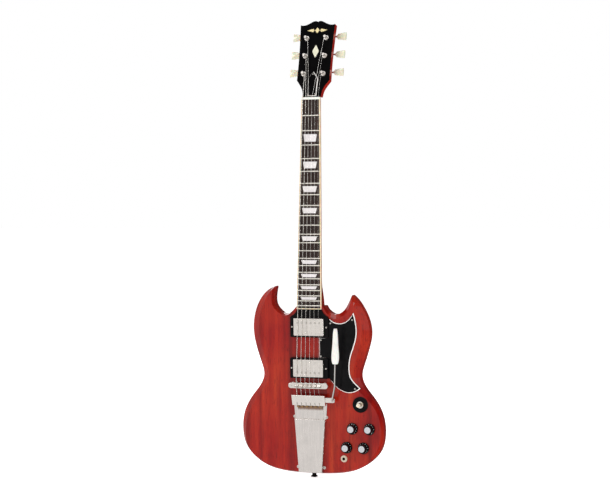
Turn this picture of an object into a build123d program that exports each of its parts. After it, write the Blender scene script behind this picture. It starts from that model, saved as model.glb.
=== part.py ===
"""Double-cutaway solid-body electric guitar with a leaf-spring vibrato tailpiece.

Millimetres. +Z runs up the neck, +X to the treble side and +Y to the back. The origin is on the
centreline at the bottom edge of the body, in the plane of the body's front face.
"""
from build123d import *
from math import cos, degrees, radians, sin
import os

os.makedirs("parts", exist_ok=True)

# ---------------------------------------------------------------- driving dimensions
scale_length = 628.65
bridge_z = 195.0
fret_count = 22
neck_pitch = 3.5
head_pitch = 12.5

body_thick = 35.0
bevel_depth = 8.5
back_bevel_share = 0.8

nut_width = 43.0
last_fret_width = 57.0
board_thick = 6.0
board_radius = 305.0
board_rise = 6.0
board_overhang = 7.5
binding_width = 1.8
fret_half_width = 1.35
fret_height = 1.2
tang_half_width = 0.3
tang_depth = 1.5
inlay_depth = 2.0
inlay_frets = (3, 5, 7, 9, 12, 15, 17, 19, 21)
nut_thick = 5.0
nut_rise = 1.6

head_thick = 14.0
truss_cover_thick = 2.2
veneer_thick = 1.5
post_x = 22.7
post_rows = (59.3, 100.75, 142.2)
post_radius = 3.0
post_height = 12.5
running_gap = 0.05
bushing_radius = 4.3
worm_offset = 9.0
shaft_depth = 19.5
shaft_radius = 2.0
wheel_radius = 5.9
worm_radius = 3.0
wheel_teeth = 14
housing_depth = 9.7
housing_shift = 3.0
housing_wall = 0.8
button_start = 42.5
button_end = 62.0

string_count = 6
nut_spread = 35.5
bridge_spread = 52.0
string_radii = (0.58, 0.46, 0.33, 0.22, 0.17, 0.13)
ball_z = 149.5
ball_radius = 2.1
ball_height = 9.6
nut_action = 1.05
bridge_action = 5.3

pickup_z = {"neck": 324.0, "bridge": 234.0}
pickup_top = {"neck": 9.4, "bridge": 15.2}
ring_rise = {"neck": 4.5, "bridge": 9.5}
pole_side = {"neck": 1, "bridge": -1}
cover_size = (70.0, 38.0)
ring_size = (89.0, 46.0)
cover_gap = 0.5
cover_depth = 15.0
cover_wall = 0.6
pole_pitch = 10.2
pole_row = 9.5
coil_row = 9.5

guard_thick = 2.6
guard_bevel = 1.6
knob_places = {"volume_knob_neck": (96.5, 103.2), "tone_knob_neck": (135.5, 103.2),
               "volume_knob_bridge": (83.0, 61.2), "tone_knob_bridge": (121.5, 61.2)}
toggle_place = (115.3, 156.4)
jack_place = (76.3, 36.2)
wall_left = 8.0
jack_bore = 3.25
knob_shaft = 3.0
cavity_cover_thick = 2.5

bar_ends = (-37.5, 39.0)
bar_length = 24.0
bar_above = 4.0
bar_below = 4.0
arm_x = 57.0
arm_radius = 2.0
spring_thick = 1.2
plate_thick = 1.2
vibrola_top_z = 168.0
cover_top_z = 121.5
vibrola_half_top = 36.0
vibrola_half_end = 27.5
vibrola_cover_rise = 7.0
bend_z = 170.0


# ---------------------------------------------------------------- frames
def fret_distance(number):
    """Distance from the nut to a fret, in equal temperament."""
    return scale_length * (1 - 2 ** (-number / 12))


def board_width(distance):
    """Full width of the fretboard, binding included, at a distance from the nut."""
    return nut_width + (last_fret_width - nut_width) * distance / fret_distance(fret_count)


FACE = Plane((0, 0, 0), x_dir=(1, 0, 0), z_dir=(0, -1, 0))
neck_tilt = radians(neck_pitch)
head_tilt = radians(neck_pitch + head_pitch)
along_neck = Vector(0, sin(neck_tilt), cos(neck_tilt))
along_head = Vector(0, sin(head_tilt), cos(head_tilt))
nut_y = fret_distance(fret_count) * sin(neck_tilt) - board_rise
nut_z = bridge_z + scale_length * cos(neck_tilt)
NECK = Plane((0, nut_y, nut_z), x_dir=(1, 0, 0), z_dir=(0, -cos(neck_tilt), sin(neck_tilt)))
head_origin = NECK.from_local_coords(Vector(0, 0, -board_thick))
HEAD = Plane(head_origin, x_dir=(1, 0, 0), z_dir=(0, -cos(head_tilt), sin(head_tilt)))
board_length = fret_distance(fret_count) + board_overhang


def neck_point(x, y, z):
    """A point given across, along and above the fretboard, measured from the nut."""
    return NECK.from_local_coords(Vector(x, y, z))


def head_point(x, y, z):
    """A point given across, along and above the headstock's face."""
    return HEAD.from_local_coords(Vector(x, y, z))


def face_point(x, z, rise):
    """A point at a height above the body's face."""
    return Vector(x, -rise, z)


def neck_section(distance, drop=0.0):
    """Plane square to the neck, its second axis pointing to the back."""
    return Plane(neck_point(0, -distance, -drop), x_dir=(1, 0, 0), z_dir=along_neck)


def tube(start, end, radius, mode=Mode.ADD):
    """A straight round bar between two points, joined to the part being built."""
    way = end - start
    with BuildSketch(Plane(start, z_dir=way)) as section:
        Circle(radius)
    extrude(section.sketch, amount=way.length, mode=mode)


def drill(start, end, radius):
    """A straight round hole between two points in the part being built."""
    tube(start, end, radius, Mode.SUBTRACT)


# ---------------------------------------------------------------- strings
def string_offsets(spread):
    """Places of the strings across the neck, bass side first."""
    return [spread * (k / (string_count - 1) - 0.5) for k in range(string_count)]


def crown_drop(x):
    """How far the board's arched surface lies under its crown."""
    return board_radius - (board_radius ** 2 - x ** 2) ** 0.5


nut_xs = string_offsets(nut_spread)
bridge_xs = string_offsets(bridge_spread)
posts = [(-post_x, row) for row in post_rows] + [(post_x, row) for row in reversed(post_rows)]
wrap_rise = 6.0


def wrap_radius(k):
    return post_radius + running_gap + string_radii[k]


def nut_crest(k):
    x = nut_xs[k]
    return neck_point(x, 1.5, nut_action + string_radii[k] - crown_drop(x))


def saddle_crest(k):
    x = bridge_xs[k]
    return neck_point(x, -scale_length, bridge_action - crown_drop(x))


def ball_centre(k):
    return face_point(bridge_xs[k], ball_z, ball_height)


def post_side(k):
    """The point where a string leaves its post, on the side nearer the centreline."""
    x, row = posts[k]
    inward = 1 if x < 0 else -1
    return head_point(x + inward * wrap_radius(k), row, wrap_rise)


with BuildPart() as strings:
    for k in range(string_count):
        tube(post_side(k), nut_crest(k), string_radii[k])
        tube(nut_crest(k), saddle_crest(k), string_radii[k])
        tail = ball_centre(k) - saddle_crest(k)
        tube(saddle_crest(k), ball_centre(k) - tail.normalized() * ball_radius, string_radii[k])
        for joint in (post_side(k), nut_crest(k), saddle_crest(k)):
            with Locations(joint):
                Sphere(string_radii[k])
        for turn in range(3):
            centre = head_point(posts[k][0], posts[k][1], wrap_rise - turn * 1.6 * string_radii[k])
            with Locations(Plane(centre, x_dir=(1, 0, 0), z_dir=HEAD.z_dir)):
                Torus(wrap_radius(k), string_radii[k])
strings.part.label = "strings"

with BuildPart() as string_ball_ends:
    for k in range(string_count):
        with Locations(Plane(ball_centre(k), x_dir=(0, 1, 0), z_dir=(1, 0, 0))):
            Cylinder(ball_radius, 2 * ball_radius)
string_ball_ends.part.label = "string_ball_ends"


# ---------------------------------------------------------------- fretboard
def board_face(distance_from, distance_to, inset):
    """Tapered outline of a stretch of the board, inset from its sides."""
    near = board_width(distance_from) / 2 - inset
    far = board_width(distance_to) / 2 - inset
    with BuildLine() as rim:
        Polyline((-near, -distance_from), (near, -distance_from), (far, -distance_to),
                 (-far, -distance_to), close=True)
    make_face(rim.edges())


def arched_blank(top, thick):
    """A straight blank whose top follows the board's radius, running the whole board's length."""
    half = last_fret_width / 2 + 2
    edge = crown_drop(half) - top
    with BuildSketch(neck_section(board_length)) as section:
        with BuildLine():
            ThreePointArc((-half, edge), (0, -top), (half, edge))
            Polyline((half, edge), (half, thick), (-half, thick), (-half, edge))
        make_face()
    extrude(section.sketch, amount=board_length)


def fret_solid(number):
    """One fret, its crown and tang swept round the board's radius."""
    distance = fret_distance(number)
    half_angle = (board_width(distance) / 2 - binding_width) / board_radius
    axis_point = neck_point(0, -distance, -board_radius)
    radial = NECK.z_dir * cos(half_angle) - Vector(1, 0, 0) * sin(half_angle)
    base = board_radius
    with BuildSketch(Plane(axis_point, x_dir=radial, z_dir=radial.cross(along_neck))) as section:
        with BuildLine():
            ThreePointArc((base, -fret_half_width), (base + fret_height, 0), (base, fret_half_width))
            Polyline((base, fret_half_width), (base, tang_half_width), (base - tang_depth, tang_half_width),
                     (base - tang_depth, -tang_half_width), (base, -tang_half_width),
                     (base, -fret_half_width))
        make_face()
    revolve(section.sketch, Axis(axis_point, along_neck), revolution_arc=degrees(2 * half_angle))


with BuildPart() as frets:
    for number in range(1, fret_count + 1):
        fret_solid(number)
frets.part.label = "frets"

with BuildPart() as fret_markers:
    arched_blank(0, inlay_depth)
    with BuildSketch(NECK.offset(-5)):
        for number in inlay_frets:
            upper, lower = fret_distance(number - 1), fret_distance(number)
            gap = lower - upper
            wide = board_width(upper) * 0.345
            narrow = board_width(lower) * 0.285
            with BuildLine():
                Polyline((-wide, -upper - 0.24 * gap), (wide, -upper - 0.24 * gap),
                         (narrow, -lower + 0.24 * gap), (-narrow, -lower + 0.24 * gap), close=True)
            make_face()
    extrude(amount=10, mode=Mode.INTERSECT)
fret_markers.part.label = "fret_markers"

with BuildPart() as fretboard:
    arched_blank(0, board_thick)
    with BuildSketch(NECK.offset(-10)):
        board_face(0, board_length - binding_width, binding_width)
    extrude(amount=20, mode=Mode.INTERSECT)
    add(frets.part, mode=Mode.SUBTRACT)
    add(fret_markers.part, mode=Mode.SUBTRACT)
fretboard.part.label = "fretboard"

with BuildPart() as fretboard_binding:
    arched_blank(0, board_thick)
    with BuildSketch(NECK.offset(-10)):
        board_face(0, board_length, 0)
    extrude(amount=20, mode=Mode.INTERSECT)
    with BuildSketch(NECK.offset(-10)):
        board_face(0, board_length - binding_width, binding_width)
    extrude(amount=20, mode=Mode.SUBTRACT)
fretboard_binding.part.label = "fretboard_binding"

with BuildPart() as nut:
    with BuildSketch(neck_section(-nut_thick)):
        with BuildLine():
            half = nut_width / 2
            ThreePointArc((-half, -nut_rise + 0.8), (0, -nut_rise), (half, -nut_rise + 0.8))
            Polyline((half, -nut_rise + 0.8), (half, board_thick), (-half, board_thick),
                     (-half, -nut_rise + 0.8))
        make_face()
    extrude(amount=-nut_thick)
    add(strings.part, mode=Mode.SUBTRACT)
nut.part.label = "nut"


# ---------------------------------------------------------------- headstock and neck
def head_outline(start):
    """Headstock outline: a curved flare, slightly waisted sides and a notched, arched top."""
    with BuildLine() as rim:
        for side in (1, -1):
            Spline((side * 21.4, start), (side * 21.8, 14), (side * 24, 23), (side * 30, 34),
                   (side * 38, 45))
            Spline((side * 38, 45), (side * 37.4, 90), (side * 38.4, 133), (side * 40.4, 174))
            Spline((side * 40.4, 174), (side * 29, 173.3), (side * 16, 178.8), (side * 7, 182.4),
                   (0, 180.4))
        Line((-21.4, start), (21.4, start))
    make_face(rim.edges())


# ---------------------------------------------------------------- screws
def screw(plane, head_radius, shank_radius, length, rise=1.3):
    """A cross-slotted round-head screw, its head standing on the plane and its shank under it."""
    with BuildSketch(plane) as head:
        Circle(head_radius)
    extrude(head.sketch, amount=rise, taper=24)
    with BuildSketch(plane) as shank:
        Circle(shank_radius)
    extrude(shank.sketch, amount=-length)
    with BuildSketch(plane.offset(rise - 0.5)) as slots:
        Rectangle(1.1 * head_radius, 0.45)
        Rectangle(0.45, 1.1 * head_radius)
    extrude(slots.sketch, amount=1.0, mode=Mode.SUBTRACT)


def at(plane, x, y, height=0.0):
    """A plane moved to a place on another plane, at a height above it."""
    return Plane(plane.from_local_coords(Vector(x, y, height)), x_dir=plane.x_dir, z_dir=plane.z_dir)


guard_screws = ((49.2, 333.2), (99.4, 341.4), (26.7, 295.9), (26.2, 260.5), (104.3, 191.0))
cavity_screws = ((59.8, 40), (104, 21.8), (150.4, 96), (133.4, 157), (81.8, 139))
cover_screws = ((0, 57.5), (-8.0, 12.0), (8.0, 12.0))
UNDER = Plane((0, body_thick, 0), x_dir=(-1, 0, 0), z_dir=(0, 1, 0))

with BuildPart() as trim_screws:
    for x, z in guard_screws:
        screw(at(FACE, x, z, guard_thick), 2.2, 1.2, 12)
    for x, y in cover_screws:
        screw(at(HEAD, x, y, truss_cover_thick), 1.7, 0.9, 7)
    for x, z in cavity_screws:
        screw(at(UNDER, -x, z), 2.2, 1.2, 12)
    for x, row in posts:
        for reach in (housing_shift - 16.0, housing_shift + 16.0):
            place = Plane(head_point(x, row + reach, -head_thick - housing_wall), x_dir=(1, 0, 0),
                          z_dir=-HEAD.z_dir)
            screw(place, 1.9, 1.0, 7)
trim_screws.part.label = "trim_screws"

tailpiece_screw_places = ((37.2, 126.0), (-37.2, 126.0), (30.6, 14.4), (-30.6, 14.4))
strap_heel_z = 356.0
button_rise = 9.0
with BuildPart() as wood_screws:
    for x, z in tailpiece_screw_places:
        screw(at(FACE, x, z, plate_thick), 2.4, 1.5, 18, 1.4)
    screw(at(UNDER, 0, strap_heel_z, button_rise), 3.6, 1.8, 28, 1.8)
    screw(Plane((0, body_thick / 2, -button_rise), x_dir=(1, 0, 0), z_dir=(0, 0, -1)), 3.6, 1.8, 34, 1.8)
wood_screws.part.label = "wood_screws"


# ---------------------------------------------------------------- neck and headstock
with BuildPart() as headstock_veneer:
    with BuildSketch(HEAD):
        head_outline(5.6)
        with Locations((0, 22)):
            SlotOverall(30, 10.5, rotation=90, mode=Mode.SUBTRACT)
    extrude(amount=-veneer_thick)
    for x, row in posts:
        drill(head_point(x, row, 1), head_point(x, row, -head_thick - 1), bushing_radius)
    add(trim_screws.part, mode=Mode.SUBTRACT)
headstock_veneer.part.label = "headstock_veneer"

rod_drop = 14.5
with BuildPart() as truss_rod:
    tube(neck_point(0, -fret_distance(19), -rod_drop), neck_point(0, 7, -rod_drop), 2.4)
    with BuildSketch(neck_section(-7, rod_drop)):
        RegularPolygon(4.0, 6)
        Circle(1.8, mode=Mode.SUBTRACT)
    extrude(amount=9)
truss_rod.part.label = "truss_rod"


def neck_profile(plane, width, side, depth):
    """Neck section: flat on top, short upright sides and a round back."""
    half = width / 2
    with BuildSketch(plane) as section:
        with BuildLine():
            Line((-half, 0), (half, 0))
            Line((half, 0), (half, side))
            ThreePointArc((half, side), (0, depth), (-half, side))
            Line((-half, side), (-half, 0))
        make_face()
    return section.sketch


tenon_half = 20.0
tenon_end_z = 349.0
tenon_top_z = 368.0
with BuildPart() as neck:
    loft([neck_profile(neck_section(distance, board_thick), board_width(max(distance, 0)), side, depth)
          for distance, side, depth in ((-nut_thick, 2.0, 14.5), (205, 2.2, 16.0), (395, 3.0, 17.5))])
    loft([neck_profile(neck_section(distance, board_thick), board_width(distance), side, depth)
          for distance, side, depth in ((395, 3.0, 17.5), (418, 8.0, 22.0), (435, 15.0, 28.0),
                                        (456, 18.0, 30.0))])
    head_join = Plane(head_point(0, 17, -veneer_thick), x_dir=(1, 0, 0), z_dir=along_head)
    loft([neck_profile(neck_section(-nut_thick, board_thick), nut_width, 2.0, 14.5),
          neck_profile(head_join, 44.2, 10.0, 12.5)])
    with BuildSketch(HEAD.offset(-veneer_thick)):
        head_outline(9)
    extrude(amount=veneer_thick - head_thick)
    with BuildSketch(HEAD.offset(-veneer_thick)):
        head_outline(5.6)
    extrude(amount=20, mode=Mode.SUBTRACT)
    with BuildSketch(HEAD.offset(-10)):
        with Locations((0, 22)):
            SlotOverall(30, 10.5, rotation=90)
    extrude(amount=12, mode=Mode.SUBTRACT)
    add(truss_rod.part, mode=Mode.SUBTRACT)
    for x, row in posts:
        drill(head_point(x, row, 1), head_point(x, row, -head_thick - 1), bushing_radius)
    with BuildSketch(FACE.offset(-30)):
        with BuildLine():
            Polyline((-tenon_half, tenon_top_z), (tenon_half, tenon_top_z), (tenon_half, tenon_end_z),
                     (-tenon_half, tenon_end_z), close=True)
        make_face()
    extrude(amount=30)
    for fixing in (trim_screws, wood_screws):
        add(fixing.part, mode=Mode.SUBTRACT)
neck.part.label = "neck"

with BuildPart() as truss_rod_cover:
    with BuildSketch(HEAD):
        with BuildLine():
            for side in (1, -1):
                Line((side * 11.0, 8), (side * 11.2, 40))
                Spline((side * 11.2, 40), (side * 9.4, 52), (side * 3.4, 60), (0, 65))
            Line((-11.0, 8), (11.0, 8))
        make_face()
    extrude(amount=truss_cover_thick, taper=32)
    add(trim_screws.part, mode=Mode.SUBTRACT)
truss_rod_cover.part.label = "truss_rod_cover"


# ---------------------------------------------------------------- tuning machines
def post_frame(k, height=0.0):
    """Plane across a tuner post, its first axis pointing outwards to the button."""
    x, row = posts[k]
    return Plane(head_point(x, row, height), x_dir=(1 if x > 0 else -1, 0, 0), z_dir=HEAD.z_dir)


with BuildPart() as tuner_bushings:
    for k in range(string_count):
        with BuildSketch(post_frame(k, -head_thick)):
            Circle(bushing_radius)
            Circle(post_radius + running_gap, mode=Mode.SUBTRACT)
        extrude(amount=head_thick)
        with BuildSketch(post_frame(k)):
            Circle(5.4)
            Circle(post_radius + running_gap, mode=Mode.SUBTRACT)
        extrude(amount=1.0)
tuner_bushings.part.label = "tuner_bushings"


wheel_low = -shaft_depth - 2.0
tuner_posts = []
for k in range(string_count):
    with BuildPart() as post:
        with BuildSketch(post_frame(k, wheel_low)):
            Circle(post_radius)
        extrude(amount=post_height - wheel_low)
        with BuildSketch(post_frame(k, post_height - 4.5)):
            Circle(post_radius)
            Circle(2.2, mode=Mode.SUBTRACT)
        extrude(amount=2.5, mode=Mode.SUBTRACT)
        with BuildSketch(post_frame(k, wheel_low)):
            Circle(wheel_radius - 1.0)
            with PolarLocations(wheel_radius - 0.75, wheel_teeth):
                Rectangle(1.5, 1.2)
        extrude(amount=4.0)
    post.part.label = f"tuner_post_{k + 1}"
    tuner_posts.append(post)


def shaft_plane(k, out):
    """Plane square to a tuner's key shaft, at a distance outwards from the post's axis."""
    x, row = posts[k]
    side = 1 if x > 0 else -1
    centre = head_point(x + side * out, row + worm_offset, -shaft_depth)
    return Plane(centre, x_dir=along_head, z_dir=(side, 0, 0))


tuner_keys = []
for k in range(string_count):
    with BuildPart() as key:
        with BuildSketch(shaft_plane(k, -7.6)):
            Circle(shaft_radius)
        extrude(amount=button_start - post_x + 7.6)
        for ridge in range(4):
            with BuildSketch(shaft_plane(k, -4.2 + 2.4 * ridge)):
                Circle(worm_radius)
            extrude(amount=1.2)
        with BuildSketch(shaft_plane(k, button_start - post_x)):
            Ellipse(6.3, 3.4)
        with BuildSketch(shaft_plane(k, (button_start + button_end) / 2 - post_x + 2)):
            Ellipse(8.4, 3.9)
        with BuildSketch(shaft_plane(k, button_end - post_x)):
            Ellipse(9.2, 3.0)
        loft()
        with BuildSketch(shaft_plane(k, button_start - post_x - 2.4)):
            Circle(3.4)
        extrude(amount=2.4)
    key.part.label = f"tuner_key_{k + 1}"
    tuner_keys.append(key)

with BuildPart() as tuner_housings:
    for k in range(string_count):
        centre_y = housing_shift if posts[k][0] > 0 else -housing_shift
        with BuildSketch(post_frame(k, -head_thick)):
            with Locations((0, centre_y)):
                RectangleRounded(14.0, 22.0, 3.0)
        extrude(amount=-housing_depth)
        with BuildSketch(post_frame(k, -head_thick)):
            with Locations((0, centre_y)):
                RectangleRounded(11.0, 37.0, 4.0)
        extrude(amount=-housing_wall)
        with BuildSketch(post_frame(k, -head_thick)):
            with Locations((0, centre_y)):
                RectangleRounded(14.0 - 2 * housing_wall, 22.0 - 2 * housing_wall, 2.2)
        extrude(amount=housing_wall - housing_depth, mode=Mode.SUBTRACT)
        out = shaft_plane(k, -9).origin
        drill(out, shaft_plane(k, 9).origin, shaft_radius + running_gap)
    add(trim_screws.part, mode=Mode.SUBTRACT)
tuner_housings.part.label = "tuner_housings"



# ---------------------------------------------------------------- strap buttons
def strap_button(plane):
    """A waisted button with a wide rim, bored for its screw."""
    with BuildSketch(Plane(plane.origin, x_dir=plane.x_dir, z_dir=plane.y_dir)) as profile:
        with BuildLine():
            Polyline((1.8, 0), (5.5, 0), (4.6, -3.0), (4.6, -5.0), (7.6, -button_rise + 1.5),
                     (7.6, -button_rise), (1.8, -button_rise), close=True)
        make_face()
    revolve(profile.sketch, Axis(plane.origin, plane.z_dir))


with BuildPart() as strap_buttons:
    strap_button(at(UNDER, 0, strap_heel_z))
    strap_button(Plane((0, body_thick / 2, 0), x_dir=(1, 0, 0), z_dir=(0, 0, -1)))
strap_buttons.part.label = "strap_buttons"


# ---------------------------------------------------------------- outlines with their own bevels
def moved_knot(before, here, after, share):
    """A knot moved inwards, along the bisector of the sides that meet there, by a share of its width."""
    arriving = Vector(here[0] - before[0], here[1] - before[1]).normalized()
    leaving = Vector(after[0] - here[0], after[1] - here[1]).normalized()
    inward = Vector(-arriving.Y - leaving.Y, arriving.X + leaving.X).normalized()
    reach = share * here[2] / inward.dot(Vector(-arriving.Y, arriving.X))
    return here[0] + inward.X * reach, here[1] + inward.Y * reach


def outline(runs, share=0.0):
    """Closed face whose runs of knots (across, up, bevel width) go anticlockwise round the shape."""
    with BuildLine() as rim:
        for index, knots in enumerate(runs):
            chain = [runs[index - 1][-2]] + knots + [runs[(index + 1) % len(runs)][1]]
            places = [moved_knot(*chain[i - 1:i + 2], share) for i in range(1, len(chain) - 1)]
            if len(places) > 2:
                Spline(*places)
            else:
                Line(*places)
    make_face(rim.edges())


bass_side = [(-83, 412.5, 2.5), (-105, 400, 9), (-120.5, 381, 14), (-132.6, 350, 15), (-135.8, 314, 16),
             (-129, 276, 15.5), (-119, 245, 15), (-112.5, 216, 14), (-119.3, 196, 14), (-139.5, 169.5, 14),
             (-160, 132, 13), (-165, 94, 10), (-157, 57, 5), (-136, 31.5, 3.5), (-106, 13, 3.5),
             (-60, 2.5, 3.5), (0, 0, 3.5)]
treble_side = [(60, 2.5, 3.5), (106, 13, 3.5), (136, 31.5, 3.5), (157, 57, 3.5), (165, 94, 3.5),
               (160, 132, 4), (139.5, 169.5, 7), (119.3, 196, 12), (112.5, 216, 14), (119, 245, 15),
               (129, 276, 15.5), (135.8, 307, 16), (131.5, 340, 15), (119.5, 366, 13), (108, 383, 9),
               (96, 394.5, 3)]
body_runs = [bass_side + treble_side,
             [(96, 394.5, 3), (88.5, 379, 5.5), (81.5, 366.5, 8), (71, 356.3, 9.5), (57, 352, 9),
              (43, 358, 5), (31, 371, 1.5)],
             [(31, 371, 1.5), (-31, 371, 1.5)],
             [(-31, 371, 1.5), (-39, 362.5, 2), (-49, 354.3, 2.5), (-61.5, 352, 3), (-75, 359.5, 3),
              (-85, 372, 2.5), (-87.3, 390, 2), (-83, 412.5, 2.5)]]

cavity_corners = ((62, 24), (106, 24), (148, 70), (148, 118), (131, 150), (131, 164.5), (98, 164.5),
                  (72, 108), (62, 62))


def cavity_outline(margin):
    """Rounded outline of the control cavity, grown by a margin."""
    with BuildLine() as rim:
        Polyline(*cavity_corners, close=True)
    make_face(rim.edges())
    offset(amount=margin, kind=Kind.ARC)


# ---------------------------------------------------------------- pickups
with BuildPart() as pickup_pole_screws:
    for name, z in pickup_z.items():
        row = z + pole_side[name] * pole_row
        for x in string_offsets(5 * pole_pitch):
            top = pickup_top[name] + 0.3
            with BuildSketch(at(FACE, x, row, top)):
                Circle(2.35)
                Rectangle(4.0, 0.7, mode=Mode.SUBTRACT)
            extrude(amount=-0.8)
            with BuildSketch(at(FACE, x, row, top - 0.8)):
                Circle(2.35)
            extrude(amount=-1.0)
            with BuildSketch(at(FACE, x, row, top - 1.8)):
                Circle(1.4)
            extrude(amount=-17.0)
pickup_pole_screws.part.label = "pickup_pole_screws"

with BuildPart() as pickup_covers:
    for name, z in pickup_z.items():
        with BuildSketch(at(FACE, 0, z, pickup_top[name] - cover_depth)):
            RectangleRounded(*cover_size, 2.2)
        extrude(amount=cover_depth)
    fillet(pickup_covers.faces().filter_by(Axis.Y).sort_by(Axis.Y)[0].edges(), 1.2)
    fillet(pickup_covers.faces().filter_by(Axis.Y).sort_by(Axis.Y)[1].edges(), 1.2)
    for name, z in pickup_z.items():
        with BuildSketch(at(FACE, 0, z, pickup_top[name] - cover_depth)):
            RectangleRounded(cover_size[0] - 2 * cover_wall, cover_size[1] - 2 * cover_wall, 1.6)
        extrude(amount=cover_depth - cover_wall, mode=Mode.SUBTRACT)
        with BuildSketch(at(FACE, 0, z + pole_side[name] * pole_row, pickup_top[name] - 3)):
            with Locations(*[(x, 0) for x in string_offsets(5 * pole_pitch)]):
                Circle(2.5)
        extrude(amount=5, mode=Mode.SUBTRACT)
pickup_covers.part.label = "pickup_covers"

with BuildPart() as pickup_bobbins:
    for name, z in pickup_z.items():
        for side in (1, -1):
            for low, high, wide in ((-12.2, -11.2, 17.2), (-11.2, -2.2, 15.4), (-2.2, -1.2, 17.2)):
                with BuildSketch(at(FACE, 0, z + side * coil_row, pickup_top[name] + low)):
                    SlotOverall(66.0 - 17.2 + wide, wide)
                extrude(amount=high - low)
    add(pickup_pole_screws.part, mode=Mode.SUBTRACT)
pickup_bobbins.part.label = "pickup_bobbins"

with BuildPart() as pickup_magnets:
    for name, z in pickup_z.items():
        with BuildSketch(at(FACE, 0, z, pickup_top[name] - cover_depth)):
            Rectangle(62, 12.6)
        extrude(amount=2.8)
pickup_magnets.part.label = "pickup_magnets"

with BuildPart() as pickup_height_screws:
    for name, z in pickup_z.items():
        for x in (-40.0, 40.0):
            reach = ring_rise[name] - pickup_top[name] + cover_depth + 6
            screw(at(FACE, x, z, ring_rise[name]), 2.3, 1.3, reach)
pickup_height_screws.part.label = "pickup_height_screws"

with BuildPart() as pickup_baseplates:
    for name, z in pickup_z.items():
        with BuildSketch(at(FACE, 0, z, pickup_top[name] - cover_depth)):
            RectangleRounded(cover_size[0] - 0.6, cover_size[1] - 0.6, 1.6)
        extrude(amount=-1.0)
        with BuildSketch(at(FACE, 0, z, pickup_top[name] - cover_depth - 1.0)):
            Rectangle(86, 11)
        extrude(amount=-1.0)
    add(pickup_pole_screws.part, mode=Mode.SUBTRACT)
    add(pickup_height_screws.part, mode=Mode.SUBTRACT)
pickup_baseplates.part.label = "pickup_baseplates"

with BuildPart() as pickup_rings:
    for name, z in pickup_z.items():
        with BuildSketch(at(FACE, 0, z)):
            RectangleRounded(*ring_size, 2.5)
        extrude(amount=ring_rise[name], taper=4)
        with BuildSketch(at(FACE, 0, z)):
            Rectangle(cover_size[0] + 2 * cover_gap, cover_size[1] + 2 * cover_gap)
        extrude(amount=ring_rise[name], mode=Mode.SUBTRACT)
    add(pickup_height_screws.part, mode=Mode.SUBTRACT)
pickup_rings.part.label = "pickup_rings"


# ---------------------------------------------------------------- plates on the face
ring_edge = ring_size[0] / 2 + 0.3
neck_ring_low = pickup_z["neck"] - ring_size[1] / 2 - 0.3
bridge_ring_high = pickup_z["bridge"] + ring_size[1] / 2 + 0.3
edge = guard_bevel
guard_runs = [[(ring_edge, 212.3, 0), (56.5, 197.7, edge), (64, 190.7, edge), (75, 184.6, edge),
               (89.4, 181.4, edge), (103, 184.0, edge), (116.5, 192, edge)],
              [(116.5, 192, edge), (103.5, 203.5, edge), (94.2, 216, edge), (91.2, 233, edge),
               (93.2, 256, edge), (102, 283, edge), (108.2, 308, edge), (107.4, 333, edge),
               (101.8, 357, edge)],
              [(101.8, 357, edge), (93, 344.5, edge), (82, 336, edge), (70, 333.2, edge),
               (57, 335.6, edge), (ring_edge, 343.6, 0)],
              [(ring_edge, 343.6, 0), (ring_edge, neck_ring_low, 0)],
              [(ring_edge, neck_ring_low, 0), (22.3, neck_ring_low, edge)],
              [(22.3, neck_ring_low, edge), (22.3, bridge_ring_high, edge)],
              [(22.3, bridge_ring_high, edge), (ring_edge, bridge_ring_high, 0)],
              [(ring_edge, bridge_ring_high, 0), (ring_edge, 212.3, 0)]]

with BuildPart() as pickguard:
    with BuildSketch(FACE):
        outline(guard_runs)
    extrude(amount=0.8)
    with BuildSketch(FACE.offset(0.8)):
        outline(guard_runs)
    with BuildSketch(FACE.offset(guard_thick)):
        outline(guard_runs, 1)
    loft(ruled=True)
    add(trim_screws.part, mode=Mode.SUBTRACT)
pickguard.part.label = "pickguard"

plate_top_z = 363.1
plate_low_z = pickup_z["neck"] + ring_size[1] / 2 + 0.2
with BuildPart() as neck_joint_cover:
    with BuildSketch(FACE):
        with BuildLine():
            Line((-28.4, plate_top_z), (28.4, plate_top_z))
            Spline((28.4, plate_top_z), (31, 357.5), (36, 351.5), (44.3, plate_low_z))
            Line((44.3, plate_low_z), (-44.3, plate_low_z))
            Spline((-44.3, plate_low_z), (-36, 351.5), (-31, 357.5), (-28.4, plate_top_z))
        make_face()
    extrude(amount=guard_thick)
neck_joint_cover.part.label = "neck_joint_cover"


# ---------------------------------------------------------------- bridge
bridge_centre_z = bridge_z + 1.0
base_low = 9.5
base_high = 17.0
saddle_low = 12.0
bridge_post_x = 37.0
screw_rise = 14.6
with BuildPart() as bridge_posts:
    for x in (-bridge_post_x, bridge_post_x):
        with BuildSketch(at(FACE, x, bridge_centre_z, -18)):
            Circle(2.0)
        extrude(amount=18 + base_high - 0.4)
        with BuildSketch(at(FACE, x, bridge_centre_z, base_low - 1.6)):
            Circle(7.0)
            with PolarLocations(7.0, 36):
                Circle(0.3, mode=Mode.SUBTRACT)
        extrude(amount=1.6)
        with BuildSketch(at(FACE, x, bridge_centre_z, base_high - 1.6)):
            Rectangle(5, 0.7)
        extrude(amount=2, mode=Mode.SUBTRACT)
bridge_posts.part.label = "bridge_posts"

with BuildPart() as saddle_screws:
    for x in bridge_xs:
        start = face_point(x, bridge_centre_z - 5.0, screw_rise)
        tube(start, face_point(x, bridge_centre_z + 6.6, screw_rise), 1.1)
        start = face_point(x, bridge_centre_z + 6.1, screw_rise)
        tube(start, face_point(x, bridge_centre_z + 7.4, screw_rise), 1.7)
saddle_screws.part.label = "saddle_screws"

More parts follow.
